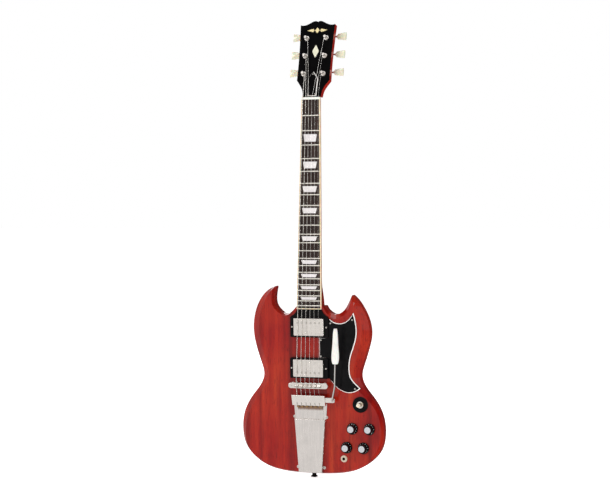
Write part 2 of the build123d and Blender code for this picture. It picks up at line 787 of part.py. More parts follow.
with BuildPart() as bridge_saddles:
    for k in range(string_count):
        crest = saddle_crest(k)
        top = -crest.Y - string_radii[k] * 0.2
        with BuildSketch(Plane((bridge_xs[k] - 4.0, 0, crest.Z), x_dir=(0, 0, 1), z_dir=(1, 0, 0))):
            with BuildLine():
                Polyline((-1.8, saddle_low), (3.8, saddle_low), (3.8, base_high), (0.5, top), (-0.5, top),
                         (-1.8, base_high), close=True)
            make_face()
        extrude(amount=8.0)
    add(strings.part, mode=Mode.SUBTRACT)
    add(saddle_screws.part, mode=Mode.SUBTRACT)
bridge_saddles.part.label = "bridge_saddles"

with BuildPart() as bridge_base:
    with BuildSketch(at(FACE, 0, bridge_centre_z, base_low)):
        SlotOverall(92, 12.2)
    extrude(amount=base_high - base_low)
    fillet(bridge_base.faces().sort_by(Axis.Y)[0].edges(), 0.9)
    with BuildSketch(at(FACE, 0, bridge_centre_z, saddle_low)):
        Rectangle(63, 8.0)
    extrude(amount=10, mode=Mode.SUBTRACT)
    for x in (-bridge_post_x, bridge_post_x):
        drill(face_point(x, bridge_centre_z, base_low - 1), face_point(x, bridge_centre_z, 20), 2.1)
    add(saddle_screws.part, mode=Mode.SUBTRACT)
bridge_base.part.label = "bridge_base"


# ---------------------------------------------------------------- vibrato tailpiece
tail_way = saddle_crest(2) - ball_centre(2)
tail_way = Vector(0, tail_way.Y, tail_way.Z).normalized()
BAR = Plane(face_point(0, ball_z, ball_height), x_dir=(1, 0, 0),
            z_dir=Vector(0, -tail_way.Z, tail_way.Y))
bar_start = 3.3


def tail_half(z):
    """Half width of the tapered tailpiece at a height."""
    slope = (vibrola_half_top - vibrola_half_end) / (cover_top_z - 3.0)
    return vibrola_half_end + slope * (z - 3.0)


def tail_outline(low, high, inset):
    """Tapered outline of the tailpiece between two heights."""
    near, far = tail_half(low) - inset, tail_half(high) - inset
    with BuildLine() as rim:
        Polyline((-near, low), (near, low), (far, high), (-far, high), close=True)
    make_face(rim.edges())


with BuildPart() as vibrola_base:
    with BuildSketch(FACE):
        tail_outline(3.0, vibrola_top_z, 0)
        for x, z in tailpiece_screw_places:
            with Locations((x, z)):
                Circle(3.3)
    extrude(amount=plate_thick)
    add(wood_screws.part, mode=Mode.SUBTRACT)
vibrola_base.part.label = "vibrola_base"

with BuildPart() as vibrola_cover:
    with BuildSketch(FACE.offset(plate_thick)):
        tail_outline(3.0, cover_top_z, 0)
    extrude(amount=vibrola_cover_rise)
    fillet(vibrola_cover.faces().sort_by(Axis.Y)[0].edges(), 1.8)
    with BuildSketch(FACE.offset(plate_thick)):
        tail_outline(4.0, cover_top_z - 1.0, 1.0)
    extrude(amount=vibrola_cover_rise - 1.0, mode=Mode.SUBTRACT)
    with BuildSketch(FACE.offset(plate_thick)):
        with Locations((0, cover_top_z)):
            Rectangle(61, 6)
    extrude(amount=spring_thick + 0.4, mode=Mode.SUBTRACT)
vibrola_cover.part.label = "vibrola_cover"

leaf_mid = plate_thick + spring_thick / 2
half_leaf = spring_thick / 2
leaf_normal = Vector(tail_way.Y, tail_way.Z)
leaf_level = ball_height - (bar_below + half_leaf) / tail_way.Z
slope = -tail_way.Y / tail_way.Z
bend_radius = ((leaf_level + slope * (bend_z - ball_z) - leaf_mid)
               / (1 + tail_way.Z - slope * tail_way.Y))
bend_centre = Vector(bend_z, leaf_mid + bend_radius)


def bend_point(turn_degrees, radius):
    """A point on the spring's bend, in the side view; 0 faces the bridge."""
    return bend_centre + Vector(cos(radians(turn_degrees)), sin(radians(turn_degrees))) * radius


with BuildPart() as vibrola_spring:
    with BuildSketch(Plane((-29.5, 0, 0), x_dir=(0, 0, 1), z_dir=(1, 0, 0))):
        with BuildLine():
            outer, inner = bend_radius + half_leaf - running_gap, bend_radius - half_leaf
            outer_end, inner_end = bend_centre + leaf_normal * outer, bend_centre + leaf_normal * inner
            Line((90, plate_thick), (bend_z, plate_thick))
            Line((bend_z, plate_thick), bend_centre - Vector(0, outer))
            ThreePointArc(bend_centre - Vector(0, outer), bend_point(0, outer), outer_end)
            Line(outer_end, inner_end)
            ThreePointArc(inner_end, bend_point(0, inner), (bend_z, plate_thick + spring_thick))
            Line((bend_z, plate_thick + spring_thick), (90, plate_thick + spring_thick))
            Line((90, plate_thick + spring_thick), (90, plate_thick))
        make_face()
    extrude(amount=59)
vibrola_spring.part.label = "vibrola_spring"

leaf_start = (bend_centre + leaf_normal * bend_radius - Vector(ball_z, ball_height)).dot(
    Vector(tail_way.Z, -tail_way.Y)) - 0.7
ear_rise = 15.5
arm_pivot_z = 165.5
with BuildPart() as vibrola_bar:
    with BuildSketch(BAR.offset(-bar_below)):
        with Locations(((bar_ends[0] + bar_ends[1]) / 2, bar_start + bar_length / 2)):
            Rectangle(bar_ends[1] - bar_ends[0], bar_length)
    extrude(amount=bar_above + bar_below)
    fillet(vibrola_bar.edges().filter_by(Axis.X), 1.8)
    with BuildSketch(BAR.offset(-bar_below)):
        with Locations((0, leaf_start / 2)):
            Rectangle(59, leaf_start)
    extrude(amount=-spring_thick)
    for x in bridge_xs:
        drill(BAR.from_local_coords(Vector(x, 0, 0)),
              BAR.from_local_coords(Vector(x, bar_start + bar_length + 1, 0)), 1.5)
        with BuildSketch(at(BAR, x, bar_start + 3.5)):
            RectangleRounded(1.3, 9.0, 0.6)
        extrude(amount=6, mode=Mode.SUBTRACT)
    with BuildSketch(at(FACE, 0, 0, ear_rise - 4.0)):
        with Locations((bar_ends[1] + 10.5, arm_pivot_z)):
            RectangleRounded(24, 10.6, 4)
    extrude(amount=4.0)
    drill(face_point(arm_x, arm_pivot_z, 0), face_point(arm_x, arm_pivot_z, 30), arm_radius + running_gap)
vibrola_bar.part.label = "vibrola_bar"

arm_points = [(arm_x, arm_pivot_z, 8.5), (arm_x, arm_pivot_z, 20.0), (64.5, 196.0, 23.0),
              (68.2, 246.0, 28.5)]
handle_top = (70.6, 322.0, 31.5)
with BuildPart() as vibrola_arm:
    with BuildLine() as arm_line:
        FilletPolyline(*[face_point(*place) for place in arm_points], face_point(*handle_top), radius=4.0)
    start = arm_line.line @ 0
    with BuildSketch(Plane(start, z_dir=arm_line.line % 0)):
        Circle(arm_radius)
    sweep()
    with BuildSketch(at(FACE, arm_x, arm_pivot_z, ear_rise + 0.1)):
        Circle(4.0)
    extrude(amount=1.8)
vibrola_arm.part.label = "vibrola_arm"

handle_way = face_point(*handle_top) - face_point(*arm_points[-1])
with BuildPart() as vibrola_handle:
    for share, radius in ((0.02, 6.0), (0.08, 7.4), (0.5, 7.0), (0.9, 5.2), (1.03, 3.6)):
        with BuildSketch(Plane(face_point(*arm_points[-1]) + handle_way * share, z_dir=handle_way)):
            Circle(radius)
    loft()
    add(vibrola_arm.part, mode=Mode.SUBTRACT)
vibrola_handle.part.label = "vibrola_handle"


# ---------------------------------------------------------------- controls
knob_skirt = ((knob_shaft, 1.1), (12.7, 1.1), (12.7, 2.3), (11.6, 3.6), (9.3, 6.6), (8.7, 15.2),
              (8.1, 15.9), (7.2, 15.9), (7.2, 15.4), (0, 15.4), (0, 12.0), (knob_shaft, 12.0))
knobs = []
for name, place in knob_places.items():
    with BuildPart() as knob:
        with BuildSketch(Plane((place[0], 0, place[1]), x_dir=(1, 0, 0), z_dir=(0, 0, 1))):
            with BuildLine():
                Polyline(*[(radius, -rise) for radius, rise in knob_skirt], close=True)
            make_face()
        revolve(axis=Axis(face_point(*place, 0), (0, -1, 0)))
        with BuildSketch(at(FACE, *place, -wall_left - 3)):
            Circle(knob_shaft)
        extrude(amount=12.0 + wall_left + 3)
    knob.part.label = name
    knobs.append(knob)

with BuildPart() as potentiometers:
    for place in knob_places.values():
        with BuildSketch(at(FACE, *place, -wall_left)):
            Circle(4.7)
            Circle(knob_shaft + running_gap, mode=Mode.SUBTRACT)
        extrude(amount=wall_left + 0.9)
        with BuildSketch(at(FACE, *place)):
            RegularPolygon(6.2, 6)
            Circle(4.7, mode=Mode.SUBTRACT)
        extrude(amount=0.8)
        with BuildSketch(at(FACE, *place, -wall_left)):
            Circle(12.0)
            Circle(knob_shaft + running_gap, mode=Mode.SUBTRACT)
        extrude(amount=-3.2)
        with BuildSketch(at(FACE, *place, -wall_left - 3.2)):
            Circle(12.0)
        extrude(amount=-7.0)
        with BuildSketch(at(FACE, place[0], place[1], -wall_left - 1.5)):
            with Locations((-5, 13.5), (0, 14.5), (5, 13.5)):
                Rectangle(2, 6)
        extrude(amount=-0.8)
potentiometers.part.label = "potentiometers"

with BuildPart() as toggle_ring:
    with BuildSketch(at(FACE, *toggle_place)):
        Circle(17.5)
        Circle(6.0, mode=Mode.SUBTRACT)
    extrude(amount=1.6)
    chamfer(toggle_ring.faces().sort_by(Axis.Y)[0].edges(), 0.4)
toggle_ring.part.label = "toggle_ring"

with BuildPart() as toggle_switch:
    with BuildSketch(at(FACE, *toggle_place, -wall_left)):
        Circle(5.95)
        Circle(4.4, mode=Mode.SUBTRACT)
    extrude(amount=wall_left + 4.4)
    with BuildSketch(at(FACE, *toggle_place, 1.6)):
        Circle(7.6)
        Circle(4.4, mode=Mode.SUBTRACT)
        with PolarLocations(7.6, 24):
            Circle(0.35, mode=Mode.SUBTRACT)
    extrude(amount=2.2)
    with BuildSketch(at(FACE, *toggle_place, -wall_left)):
        Rectangle(28, 12)
        Circle(4.4, mode=Mode.SUBTRACT)
    extrude(amount=-1.5)
    for side in (1, -1):
        for level in (9.5, 13.5):
            with BuildSketch(at(FACE, toggle_place[0] + side * 9.5, toggle_place[1], -level)):
                Rectangle(9, 10)
            extrude(amount=-4.0)
        for level in (17.5,):
            with BuildSketch(at(FACE, toggle_place[0] + side * 9.0, toggle_place[1], -level)):
                Rectangle(0.8, 7)
            extrude(amount=-8.0)
toggle_switch.part.label = "toggle_switch"

toggle_pivot = -3.0
with BuildPart() as toggle_lever:
    with BuildSketch(at(FACE, *toggle_place, toggle_pivot - 8)):
        Circle(1.6)
    extrude(amount=20)
    with Locations(face_point(*toggle_place, toggle_pivot)):
        Sphere(3.2)
        Cylinder(1.2, 8.2)
    with BuildSketch(at(FACE, *toggle_place, 8.0)):
        Circle(2.6)
    with BuildSketch(at(FACE, *toggle_place, 12.5)):
        Circle(4.3)
    with BuildSketch(at(FACE, *toggle_place, 17.5)):
        Circle(4.0)
    with BuildSketch(at(FACE, *toggle_place, 19.4)):
        Circle(2.2)
    loft()
toggle_lever.part.label = "toggle_lever"

with BuildPart() as output_jack:
    with BuildSketch(at(FACE, *jack_place, -12)):
        Circle(4.7)
        Circle(jack_bore, mode=Mode.SUBTRACT)
    extrude(amount=14.8)
    with BuildSketch(at(FACE, *jack_place)):
        Circle(7.5)
        Circle(4.7, mode=Mode.SUBTRACT)
    extrude(amount=0.8)
    with BuildSketch(at(FACE, *jack_place, 0.8)):
        RegularPolygon(6.9, 6)
        Circle(4.7, mode=Mode.SUBTRACT)
    extrude(amount=1.8)
    with BuildSketch(at(FACE, *jack_place, -wall_left)):
        Circle(9.0)
        Circle(4.7, mode=Mode.SUBTRACT)
    extrude(amount=-3.0)
    for turn in (0, 180):
        with BuildSketch(at(FACE, *jack_place, -wall_left - 3)):
            with PolarLocations(7.4, 1, start_angle=turn):
                Rectangle(0.8, 5)
        extrude(amount=-12.0)
output_jack.part.label = "output_jack"

with BuildPart() as capacitors:
    for level in (-14.0, -23.0):
        tube(face_point(102, 82.3, level), face_point(116, 82.3, level), 4.0)
        tube(face_point(98, 82.3, level), face_point(120, 82.3, level), 0.4)
capacitors.part.label = "capacitors"

lead_depth = 14.0
lead_route = [(20, 315), (20, 240), (34, 222), (96.5, 161.5)]
pot_links = (("volume_knob_neck", "volume_knob_bridge"), ("volume_knob_neck", "tone_knob_neck"),
             ("volume_knob_bridge", "tone_knob_bridge"))
with BuildPart() as wiring:
    with BuildLine() as lead:
        FilletPolyline(*[face_point(x, z, -lead_depth) for x, z in lead_route], radius=8)
    with BuildSketch(Plane(lead.line @ 0, z_dir=lead.line % 0)):
        Circle(1.3)
    sweep()
    for first, second in pot_links:
        start = face_point(*knob_places[first], -lead_depth)
        end = face_point(*knob_places[second], -lead_depth)
        way = (end - start).normalized()
        tube(start + way * 12.02, end - way * 12.02, 0.8)
    start = face_point(*knob_places["volume_knob_bridge"], -lead_depth)
    way = (face_point(*jack_place, -lead_depth) - start).normalized()
    tube(start + way * 12.02, start + way * 17.5, 0.8)
wiring.part.label = "wiring"

with BuildPart() as control_cavity_cover:
    with BuildSketch(FACE.offset(-body_thick)):
        cavity_outline(4.9)
    extrude(amount=cavity_cover_thick)
    add(trim_screws.part, mode=Mode.SUBTRACT)
control_cavity_cover.part.label = "control_cavity_cover"


# ---------------------------------------------------------------- body
side_low = body_thick - bevel_depth
with BuildPart() as body:
    with BuildSketch(FACE):
        outline(body_runs, 1)
    with BuildSketch(FACE.offset(-bevel_depth)):
        outline(body_runs)
    loft(ruled=True)
    with BuildSketch(FACE.offset(-side_low)):
        outline(body_runs)
    extrude(amount=side_low - bevel_depth)
    with BuildSketch(FACE.offset(-side_low)):
        outline(body_runs)
    with BuildSketch(FACE.offset(-body_thick)):
        outline(body_runs, back_bevel_share)
    loft(ruled=True)
    add(neck.part, mode=Mode.SUBTRACT)
    for name, z in pickup_z.items():
        with BuildSketch(at(FACE, 0, z, -20)):
            RectangleRounded(75, 42.5, 5)
            RectangleRounded(87.5, 15, 3)
        extrude(amount=22, mode=Mode.SUBTRACT)
    with BuildSketch(FACE.offset(-body_thick)):
        cavity_outline(0.01)
    extrude(amount=body_thick - wall_left, mode=Mode.SUBTRACT)
    with BuildSketch(FACE.offset(-body_thick)):
        cavity_outline(5)
    extrude(amount=cavity_cover_thick, mode=Mode.SUBTRACT)
    for place in knob_places.values():
        drill(face_point(*place, 1), face_point(*place, -wall_left - 1), 4.7)
    drill(face_point(*toggle_place, 1), face_point(*toggle_place, -wall_left - 1), 5.95)
    drill(face_point(*jack_place, 1), face_point(*jack_place, -wall_left - 1), 4.7)
    drill(face_point(20, 310, -lead_depth), face_point(20, 240, -lead_depth), 3.5)
    drill(face_point(34, 222, -lead_depth), face_point(96.5, 161.5, -lead_depth), 3.5)
    for fixing in (bridge_posts, trim_screws, wood_screws):
        add(fixing.part, mode=Mode.SUBTRACT)
body.part.label = "body"

pieces = [body, neck, headstock_veneer, truss_rod, truss_rod_cover, fretboard, fretboard_binding, frets,
          fret_markers, nut, tuner_bushings, tuner_housings, *tuner_posts, *tuner_keys, strings,
          string_ball_ends, pickup_covers, pickup_bobbins, pickup_pole_screws, pickup_magnets,
          pickup_baseplates, pickup_rings, pickup_height_screws, pickguard, neck_joint_cover, trim_screws,
          wood_screws, bridge_base, bridge_saddles, saddle_screws, bridge_posts, vibrola_base,
          vibrola_spring, vibrola_cover, vibrola_bar, vibrola_arm, vibrola_handle, *knobs, potentiometers,
          capacitors, wiring, toggle_switch, toggle_ring, toggle_lever, output_jack,
          control_cavity_cover, strap_buttons]
for piece in pieces:
    export_step(piece.part, f"parts/{piece.part.label}.step")
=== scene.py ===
import math
import bpy
import bmesh
from mathutils import Matrix, Vector


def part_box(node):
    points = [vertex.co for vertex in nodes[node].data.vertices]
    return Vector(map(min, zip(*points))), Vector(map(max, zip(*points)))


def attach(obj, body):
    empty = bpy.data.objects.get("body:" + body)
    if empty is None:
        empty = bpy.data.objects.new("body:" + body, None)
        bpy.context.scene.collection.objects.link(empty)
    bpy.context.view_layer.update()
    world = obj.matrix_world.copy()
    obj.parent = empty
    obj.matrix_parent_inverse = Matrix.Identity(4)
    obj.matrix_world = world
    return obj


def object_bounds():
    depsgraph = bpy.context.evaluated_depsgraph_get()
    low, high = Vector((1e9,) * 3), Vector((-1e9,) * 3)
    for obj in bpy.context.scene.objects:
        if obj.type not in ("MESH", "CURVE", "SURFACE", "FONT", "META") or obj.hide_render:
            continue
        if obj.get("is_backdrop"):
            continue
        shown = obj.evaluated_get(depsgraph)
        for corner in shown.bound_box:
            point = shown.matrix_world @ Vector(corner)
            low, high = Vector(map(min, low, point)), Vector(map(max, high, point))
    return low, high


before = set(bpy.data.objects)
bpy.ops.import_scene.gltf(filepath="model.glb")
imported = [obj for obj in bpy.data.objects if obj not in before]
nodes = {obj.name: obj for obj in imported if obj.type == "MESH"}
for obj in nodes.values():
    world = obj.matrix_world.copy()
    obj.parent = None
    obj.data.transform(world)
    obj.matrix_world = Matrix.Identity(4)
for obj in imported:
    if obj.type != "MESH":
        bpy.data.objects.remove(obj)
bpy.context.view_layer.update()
MM = 0.001


# ------------------------------------------------------------ camera
def place_camera():
    """A long lens in front and a little to the treble side, rolled by less than a degree."""
    azimuth, rise, roll = math.radians(20.46), math.radians(2.76), math.radians(0.72)
    forward = Vector((-math.sin(azimuth) * math.cos(rise), math.cos(azimuth) * math.cos(rise),
                      -math.sin(rise)))
    right = Vector((math.cos(azimuth), math.sin(azimuth), 0))
    up = right.cross(forward)
    target = Vector((-8.4 * MM * math.cos(azimuth), -8.4 * MM * math.sin(azimuth), 493.2 * MM))
    across = right * math.cos(roll) - up * math.sin(roll)
    upward = right * math.sin(roll) + up * math.cos(roll)
    place = target - forward * 4.0
    data = bpy.data.cameras.new("camera")
    data.lens, data.sensor_width = 107.8, 36.0
    data.clip_end = 100
    camera = bpy.data.objects.new("camera", data)
    bpy.context.scene.collection.objects.link(camera)
    camera.matrix_world = Matrix((
        (across.x, upward.x, -forward.x, place.x),
        (across.y, upward.y, -forward.y, place.y),
        (across.z, upward.z, -forward.z, place.z),
        (0, 0, 0, 1)))
    bpy.context.scene.camera = camera


place_camera()


# ------------------------------------------------------------ node helpers
class Graph:
    """A small helper for building a material's nodes."""

    def __init__(self, name):
        self.material = bpy.data.materials.new(name)
        self.material.use_nodes = True
        self.tree = self.material.node_tree
        self.tree.nodes.clear()
        self.output = self.add("ShaderNodeOutputMaterial")
        self.shader = self.add("ShaderNodeBsdfPrincipled")
        self.link(self.shader.outputs[0], self.output.inputs["Surface"])
        self.place = self.add("ShaderNodeTexCoord").outputs["Object"]

    def add(self, kind, **values):
        node = self.tree.nodes.new(kind)
        for key, value in values.items():
            setattr(node, key, value)
        return node

    def link(self, source, target):
        self.tree.links.new(source, target)

    def put(self, socket, value):
        """Set a socket to a number, a colour or another node's output."""
        if isinstance(value, bpy.types.NodeSocket):
            self.link(value, socket)
        else:
            socket.default_value = value

    def math(self, operation, first, second=0.0, clamp=False):
        node = self.add("ShaderNodeMath", operation=operation, use_clamp=clamp)
        self.put(node.inputs[0], first)
        self.put(node.inputs[1], second)
        return node.outputs[0]

    def stretched(self, scale, turn=(0, 0, 0)):
        node = self.add("ShaderNodeMapping")
        self.link(self.place, node.inputs["Vector"])
        node.inputs["Scale"].default_value = scale
        node.inputs["Rotation"].default_value = turn
        return node.outputs[0]

    def noise(self, scale, detail=4.0, rough=0.5, warp=0.0, vector=None):
        node = self.add("ShaderNodeTexNoise")
        self.link(vector if vector else self.place, node.inputs["Vector"])
        node.inputs["Scale"].default_value = scale
        node.inputs["Detail"].default_value = detail
        node.inputs["Roughness"].default_value = rough
        node.inputs["Distortion"].default_value = warp
        return node.outputs["Fac"]

    def ramp(self, source, stops, smooth=False):
        node = self.add("ShaderNodeValToRGB")
        band = node.color_ramp
        band.interpolation = "EASE" if smooth else "LINEAR"
        while len(band.elements) < len(stops):
            band.elements.new(1.0)
        for element, (spot, colour) in zip(band.elements, stops):
            element.position = spot
            element.color = (*colour, 1) if len(colour) == 3 else colour
        self.link(source, node.inputs["Fac"])
        return node.outputs["Color"]

    def grade(self, source, low, high, start, end):
        """Map a value from one range onto another."""
        node = self.add("ShaderNodeMapRange")
        self.link(source, node.inputs["Value"])
        for key, value in (("From Min", low), ("From Max", high), ("To Min", start), ("To Max", end)):
            node.inputs[key].default_value = value
        return node.outputs[0]

    def mix(self, share, first, second, kind="MIX"):
        node = self.add("ShaderNodeMix", data_type="RGBA", blend_type=kind)
        self.put(node.inputs["Factor"], share)
        for socket, value in ((node.inputs[6], first), (node.inputs[7], second)):
            self.put(socket, value if isinstance(value, bpy.types.NodeSocket) else (*value, 1))
        return node.outputs[2]

    def axis(self, letter):
        node = self.add("ShaderNodeSeparateXYZ")
        self.link(self.place, node.inputs[0])
        return node.outputs[letter]

    def bump(self, height, distance, strength=1.0):
        node = self.add("ShaderNodeBump")
        self.link(height, node.inputs["Height"])
        node.inputs["Distance"].default_value = distance
        node.inputs["Strength"].default_value = strength
        return node.outputs[0]

    def set(self, **values):
        for key, value in values.items():
            self.put(self.shader.inputs[key.replace("_", " ")], value)
        return self.material


# ------------------------------------------------------------ materials
def lacquered_mahogany(name="lacquered_mahogany", dark=1.0):
    """Cherry-red stain over open straight grain, with ribbon stripes, pores and a thick gloss coat."""
    g = Graph(name)
    ribbon = g.noise(1.0, 3.0, 0.55, 0.6, g.stretched((34, 34, 2.6)))
    fibre = g.noise(1.0, 5.0, 0.65, 0.2, g.stretched((330, 330, 9)))
    cloud = g.noise(9.0, 2.0, 0.5)
    pore = g.noise(1.0, 2.0, 0.5, 0.0, g.stretched((900, 900, 42)))
    stain = g.ramp(ribbon, [(0.30, (0.19 * dark, 0.003, 0.002)), (0.46, (0.30 * dark, 0.006, 0.003)),
                            (0.60, (0.38 * dark, 0.015, 0.005)), (0.76, (0.47 * dark, 0.038, 0.009))])
    stain = g.mix(g.grade(fibre, 0.35, 0.65, 0.0, 0.55), stain, (0.20 * dark, 0.004, 0.006))
    stain = g.mix(g.grade(cloud, 0.40, 0.66, 0.0, 0.30), stain, (0.50 * dark, 0.040, 0.010))
    streak = g.noise(1.0, 2.0, 0.5, 0.4, g.stretched((62, 62, 1.6)))
    stain = g.mix(g.grade(streak, 0.55, 0.68, 0.0, 0.55), stain, (0.13 * dark, 0.003, 0.003))
    holes = g.grade(pore, 0.60, 0.68, 0.0, 0.75)
    stain = g.mix(holes, stain, (0.07 * dark, 0.001, 0.002))
    offset = g.math("ADD", g.axis("X"), g.math("MULTIPLY", g.math("SUBTRACT", ribbon, 0.5), 0.006))
    seam = g.math("ABSOLUTE", g.math("ADD", offset, 0.047))
    stain = g.mix(g.grade(seam, 0.0, 0.009, 0.55, 0.0), stain, (0.11 * dark, 0.003, 0.004))
    wave = g.noise(26.0, 2.0)
    height = g.math("ADD", g.math("MULTIPLY", fibre, 0.35), g.math("MULTIPLY", wave, 0.65))
    return g.set(Base_Color=stain, Roughness=g.grade(cloud, 0.3, 0.7, 0.34, 0.44), Coat_Weight=1.0,
                 Coat_Roughness=0.04, Coat_IOR=1.36, IOR=1.45, Specular_IOR_Level=0.02,
                 Normal=g.bump(height, 0.00006))


def dark_rosewood():
    """Dark oiled board: streaks and short open pores along the neck."""
    g = Graph("dark_rosewood")
    streak = g.noise(1.0, 4.0, 0.6, 0.8, g.stretched((150, 150, 4.5)))
    pore = g.noise(1.0, 2.0, 0.5, 0.0, g.stretched((1500, 1500, 70)))
    tone = g.ramp(streak, [(0.28, (0.015, 0.009, 0.008)), (0.50, (0.027, 0.016, 0.013)),
                           (0.70, (0.046, 0.027, 0.022))])
    holes = g.grade(pore, 0.58, 0.68, 0.0, 0.7)
    tone = g.mix(holes, tone, (0.012, 0.008, 0.008))
    return g.set(Base_Color=tone, Roughness=g.grade(streak, 0.3, 0.7, 0.38, 0.55),
                 Specular_IOR_Level=0.16, Normal=g.bump(g.math("MULTIPLY", holes, -1.0), 0.00012))


def black_gloss(name="black_gloss", facing=None, shine=0.07, deep=1.0):
    """Polished black plastic with faint polishing swirls; its bevels show a white ply if it has a facing."""
    g = Graph(name)
    haze = g.noise(70.0, 3.0, 0.6)
    scuff = g.noise(1.0, 3.0, 0.7, 1.5, g.stretched((260, 260, 900), (0.4, 0.5, 0.3)))
    tone = g.ramp(haze, [(0.3, (0.003 * deep, 0.003 * deep, 0.0035 * deep)),
                           (0.7, (0.007 * deep, 0.0065 * deep, 0.007 * deep))])
    rough = g.math("ADD", g.grade(haze, 0.3, 0.7, 0.07, 0.15), g.grade(scuff, 0.62, 0.8, 0.0, 0.12))
    if facing:
        lean = g.add("ShaderNodeVectorMath", operation="DOT_PRODUCT")
        g.link(g.add("ShaderNodeNewGeometry").outputs["Normal"], lean.inputs[0])
        lean.inputs[1].default_value = facing
        slant = g.math("MULTIPLY", g.math("LESS_THAN", lean.outputs["Value"], 0.95),
                       g.math("GREATER_THAN", lean.outputs["Value"], 0.25))
        tone = g.mix(slant, tone, (0.94, 0.90, 0.86))
    return g.set(Base_Color=tone, Roughness=rough, Specular_IOR_Level=shine,
                 Normal=g.bump(haze, 0.00002))


def polished_metal(name, tint, rough=(0.09, 0.22), brushed=None, patch=0.5, painted_shade_band=None):
    """Plated metal with wiped smears and tiny pits.

    It can have brush lines along an axis, and a painted brown shade and reflection that fades in between two
    heights in metres.
    """
    g = Graph(name)
    smear = g.noise(38.0, 4.0, 0.62, 0.5)
    pit = g.noise(420.0, 2.0, 0.5)
    light = g.ramp(smear, [(0.32, tuple(0.90 * c for c in tint)), (0.62, tint)])
    light = g.mix(g.grade(pit, 0.66, 0.76, 0.0, patch), light, tuple(0.45 * c for c in tint))
    height = pit
    if brushed:
        lines = g.noise(1.0, 3.0, 0.6, 0.0, g.stretched(brushed))
        height = lines
        light = g.mix(g.grade(lines, 0.35, 0.65, 0.0, 0.30), light, tuple(0.70 * c for c in tint))
    # painted shade and reflection: the metal turns brown from the lower height up, standing for the shadow
    # under the bar and the body mirrored in the leaf
    if painted_shade_band:
        ragged = g.math("MULTIPLY", g.math("SUBTRACT", g.noise(160.0), 0.5), 0.003)
        level = g.math("ADD", g.axis("Z"), ragged)
        light = g.mix(g.grade(level, *painted_shade_band, 0.0, 0.88), light, (0.22, 0.11, 0.055))
    return g.set(Base_Color=light, Metallic=1.0, Roughness=g.grade(smear, 0.3, 0.7, rough[0], rough[1]),
                 Normal=g.bump(height, 0.000012))


def cream_plastic(name, deep, pale, rough=0.22, glow=0.25, grain=60.0):
    """Aged translucent plastic, mottled and a little deeper in places."""
    g = Graph(name)
    mottle = g.noise(grain, 4.0, 0.6, 0.8)
    fine = g.noise(grain * 12, 2.0)
    tone = g.ramp(mottle, [(0.3, deep), (0.7, pale)])
    return g.set(Base_Color=tone, Roughness=g.grade(fine, 0.3, 0.7, rough, rough + 0.1),
                 Subsurface_Weight=glow, Subsurface_Scale=0.002, Coat_Weight=0.3, Coat_Roughness=0.08,
                 Normal=g.bump(fine, 0.00001))


def mother_of_pearl(name, tint):
    """Shell: curling bands of grey, cream and faint green and pink, under an overall tint."""
    g = Graph(name)
    flow = g.noise(95.0, 3.0, 0.55, 2.4)
    tone = g.ramp(flow, [(0.25, (0.50, 0.54, 0.44)), (0.42, (0.78, 0.79, 0.66)), (0.52, (0.62, 0.60, 0.54)),
                         (0.64, (0.88, 0.86, 0.74)), (0.80, (0.60, 0.64, 0.56))])
    tone = g.mix(0.72, tone, tint)
    return g.set(Base_Color=tone, Roughness=g.grade(flow, 0.3, 0.7, 0.12, 0.30), Metallic=0.15,
                 Coat_Weight=0.8, Coat_Roughness=0.04, Normal=g.bump(flow, 0.00003))


def two_part(name, axis, edge, above, low_material, high_material):
    """One material on each side of a plane, for a piece made of two stuffs."""
    g = Graph(name)
    picks = []
    for source in (low_material, high_material):
        picks.append(copy_into(g, source))
    value = g.axis(axis)
    if above == "outside":
        value = g.math("ABSOLUTE", value)
    share = g.math("GREATER_THAN", value, edge)
    blend = g.add("ShaderNodeMixShader")
    g.link(share, blend.inputs[0])
    g.link(picks[0], blend.inputs[1])
    g.link(picks[1], blend.inputs[2])
    g.link(blend.outputs[0], g.output.inputs["Surface"])
    g.tree.nodes.remove(g.shader)
    return g.material


def copy_into(g, source):
    """Copy another material's nodes into this graph and return its shader's output."""
    twins = {}
    for node in source.node_tree.nodes:
        if node.type == "OUTPUT_MATERIAL":
            continue
        twin = g.tree.nodes.new(node.bl_idname)
        for key in ("operation", "use_clamp", "data_type", "blend_type"):
            if hasattr(node, key):
                setattr(twin, key, getattr(node, key))
        for mine, theirs in zip(twin.inputs, node.inputs):
            if hasattr(theirs, "default_value"):
                mine.default_value = theirs.default_value
        if node.type == "VALTORGB":
            band = twin.color_ramp
            while len(band.elements) < len(node.color_ramp.elements):
                band.elements.new(1.0)
            for mine, theirs in zip(band.elements, node.color_ramp.elements):
                mine.position, mine.color = theirs.position, theirs.color
        twins[node.name] = twin
    for link in source.node_tree.links:
        if link.to_node.name in twins and link.from_node.name in twins:
            start = twins[link.from_node.name].outputs[list(link.from_node.outputs).index(link.from_socket)]
            end = twins[link.to_node.name].inputs[list(link.to_node.inputs).index(link.to_socket)]
            g.tree.links.new(start, end)
    shader = [n for n in twins.values() if n.type == "BSDF_PRINCIPLED"][0]
    return shader.outputs[0]


def wound_strings():
    """Steel strings; those on the bass side have a fine wrap."""
    g = Graph("string_steel")
    wrap = g.add("ShaderNodeTexWave", wave_type="BANDS", bands_direction="Z")
    g.link(g.place, wrap.inputs["Vector"])
    wrap.inputs["Scale"].default_value = 800.0
    bass = g.math("LESS_THAN", g.axis("X"), -0.0015)
    height = g.math("MULTIPLY", wrap.outputs["Fac"], bass)
    tone = g.mix(height, (0.88, 0.86, 0.82), (0.52, 0.49, 0.44))
    return g.set(Base_Color=tone, Metallic=0.75, Roughness=g.grade(g.noise(90.0), 0.3, 0.7, 0.2, 0.34),
                 Normal=g.bump(height, 0.00008))


